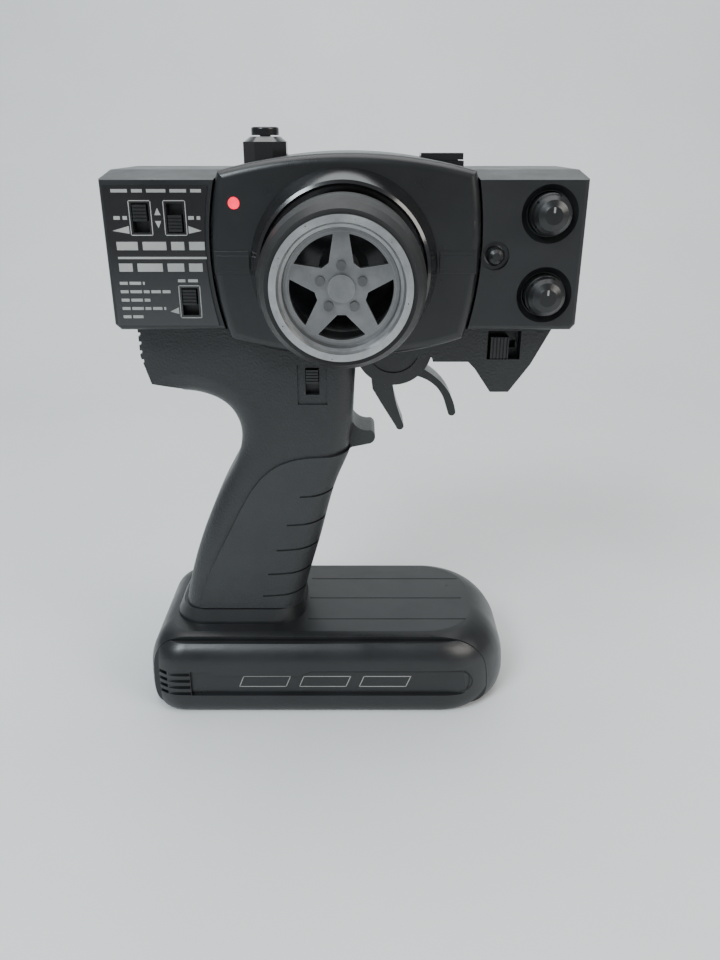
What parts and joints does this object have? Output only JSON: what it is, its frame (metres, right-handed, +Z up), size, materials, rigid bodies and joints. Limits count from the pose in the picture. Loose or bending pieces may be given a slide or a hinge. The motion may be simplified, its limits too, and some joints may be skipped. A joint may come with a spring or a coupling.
{
  "type": "pistol-grip radio transmitter",
  "caption": "Pistol-grip radio transmitter with a steering wheel, sprung trigger, trim dials, telescopic aerial and a slide-out battery drawer.",
  "frame": {"origin": "middle of the flat underside of the foot", "axes": "+Z up; +X the way the trigger points, away from the palm; +Y the side opposite the steering wheel"},
  "size_m": [0.158, 0.1091, 0.2182],
  "materials": {
    "shell_plastic": "satin moulded charcoal plastic with a fine grain",
    "cowl_plastic": "satin moulded charcoal plastic",
    "grip_plastic": "fine-grained matte charcoal plastic",
    "gloss_black": "polished black plastic",
    "wheel_silver": "satin silver finish, lightly worn",
    "lug_steel": "dull silver",
    "tyre_rubber": "smooth dark foam-like rubber",
    "control_black": "moulded black plastic",
    "screw_steel": "zinc-plated steel",
    "lamp_red": "clear red lens, lit",
    "aerial_chrome": "bright plated tube",
    "inner_plastic": "plain moulded plastic",
    "board_green": "solder-masked circuit board",
    "component_black": "moulded electronic parts",
    "pot_metal": "pressed metal can",
    "cell_wrap": "plastic-wrapped cells",
    "contact_brass": "plated spring contacts"
  },
  "bodies": {
    "case": {"aerial_sleeve": "inner_plastic", "aerial_socket": "gloss_black", "board_components": "component_black", "case_left": "shell_plastic", "case_right": "shell_plastic", "case_screws": "screw_steel", "chassis_plate": "inner_plastic", "control_boards": "board_green", "cowl_left": "cowl_plastic", "cowl_right": "cowl_plastic", "dial_pots": "pot_metal", "foot_floor": "shell_plastic", "foot_screws": "screw_steel", "foot_shell": "shell_plastic", "grip_collar": "shell_plastic", "grip_pad_left": "grip_plastic", "grip_pad_right": "grip_plastic", "knob_pod_left": "shell_plastic", "knob_pod_right": "shell_plastic", "main_board": "board_green", "power_lamp": "lamp_red", "power_switch": "component_black", "slide_switches": "component_black", "steering_pot": "pot_metal", "steering_spring": "screw_steel", "switch_panel": "gloss_black", "switch_pod_left": "shell_plastic", "switch_pod_right": "shell_plastic", "throttle_pot": "pot_metal", "thumb_pot": "component_black", "trigger_spring": "screw_steel", "wheel_bezel": "gloss_black", "wheel_bush": "inner_plastic"},
    "steering_wheel": {"wheel_rim": "wheel_silver", "wheel_tyre": "tyre_rubber", "wheel_cap": "wheel_silver", "wheel_lugs": "lug_steel", "wheel_shaft": "screw_steel"},
    "throttle_trigger": {"trigger": "control_black", "trigger_shaft": "screw_steel"},
    "steering_reverse": {"steering_reverse_button": "control_black"},
    "throttle_reverse": {"throttle_reverse_button": "control_black"},
    "third_channel": {"third_channel_button": "control_black"},
    "power": {"power_button": "control_black"},
    "steering_trim": {"steering_trim_knob": "control_black"},
    "throttle_trim": {"throttle_trim_knob": "control_black"},
    "dual_rate": {"dual_rate_knob": "control_black"},
    "thumb": {"thumb_slider": "control_black"},
    "battery_drawer": {"battery_door": "shell_plastic", "battery_tray": "inner_plastic", "battery_cells": "cell_wrap", "battery_contacts": "contact_brass"},
    "crystal_holder": {"crystal": "gloss_black"},
    "aerial_1": {"aerial_section_1": "aerial_chrome"},
    "aerial_2": {"aerial_section_2": "aerial_chrome"},
    "aerial_3": {"aerial_section_3": "aerial_chrome"},
    "aerial_4": {"aerial_section_4": "aerial_chrome"},
    "aerial_end": {"aerial_tip": "gloss_black"}
  },
  "joints": [
    {"name": "steering_turn", "type": "hinge", "parent": "case", "child": "steering_wheel", "pos_m": [0.0073, 0, 0.1763], "axis": [0, 1, 0], "range_deg": [-35, 35], "stiffness_Nm_per_rad": 0.12},
    {"name": "trigger_pull", "type": "hinge", "parent": "case", "child": "throttle_trigger", "pos_m": [0.0245, 0, 0.1458], "axis": [0, 1, 0], "range_deg": [-12, 16], "stiffness_Nm_per_rad": 0.25},
    {"name": "steering_reverse_slide", "type": "slide", "parent": "case", "child": "steering_reverse", "axis": [0, 0, -1], "range_m": [0, 0.0032]},
    {"name": "throttle_reverse_slide", "type": "slide", "parent": "case", "child": "throttle_reverse", "axis": [0, 0, 1], "range_m": [0, 0.0032]},
    {"name": "third_channel_slide", "type": "slide", "parent": "case", "child": "third_channel", "axis": [0, 0, -1], "range_m": [0, 0.0032]},
    {"name": "power_slide", "type": "slide", "parent": "case", "child": "power", "axis": [0, 0, -1], "range_m": [0, 0.004]},
    {"name": "steering_trim_turn", "type": "hinge", "parent": "case", "child": "steering_trim", "pos_m": [0.0731, 0, 0.1924], "axis": [0, 1, 0], "range_deg": [-140, 140]},
    {"name": "throttle_trim_turn", "type": "hinge", "parent": "case", "child": "throttle_trim", "pos_m": [0.0734, 0, 0.1669], "axis": [0, 1, 0], "range_deg": [-140, 140]},
    {"name": "dual_rate_turn", "type": "hinge", "parent": "case", "child": "dual_rate", "pos_m": [0.0564, 0, 0.1795], "axis": [0, 1, 0], "range_deg": [-140, 140]},
    {"name": "thumb_slide", "type": "slide", "parent": "case", "child": "thumb", "axis": [1, 0, 0], "range_m": [0, 0.0035]},
    {"name": "drawer_slide", "type": "slide", "parent": "case", "child": "battery_drawer", "axis": [0, -1, 0], "range_m": [0, 0.07]},
    {"name": "crystal_pull", "type": "slide", "parent": "case", "child": "crystal_holder", "axis": [0, 0, 1], "range_m": [0, 0.012]},
    {"name": "aerial_1_slide", "type": "slide", "parent": "case", "child": "aerial_1", "axis": [0, 0, 1], "range_m": [0, 0.125]},
    {"name": "aerial_2_slide", "type": "slide", "parent": "aerial_1", "child": "aerial_2", "axis": [0, 0, 1], "range_m": [0, 0.125]},
    {"name": "aerial_3_slide", "type": "slide", "parent": "aerial_2", "child": "aerial_3", "axis": [0, 0, 1], "range_m": [0, 0.125]},
    {"name": "aerial_4_slide", "type": "slide", "parent": "aerial_3", "child": "aerial_4", "axis": [0, 0, 1], "range_m": [0, 0.125]},
    {"name": "aerial_end_slide", "type": "slide", "parent": "aerial_4", "child": "aerial_end", "axis": [0, 0, 1], "range_m": [0, 0.125]}
  ],
  "couplings": [
    {"joint": "aerial_2_slide", "follows": "aerial_1_slide", "ratio": 1},
    {"joint": "aerial_3_slide", "follows": "aerial_1_slide", "ratio": 1},
    {"joint": "aerial_4_slide", "follows": "aerial_1_slide", "ratio": 1},
    {"joint": "aerial_end_slide", "follows": "aerial_1_slide", "ratio": 1}
  ]
}
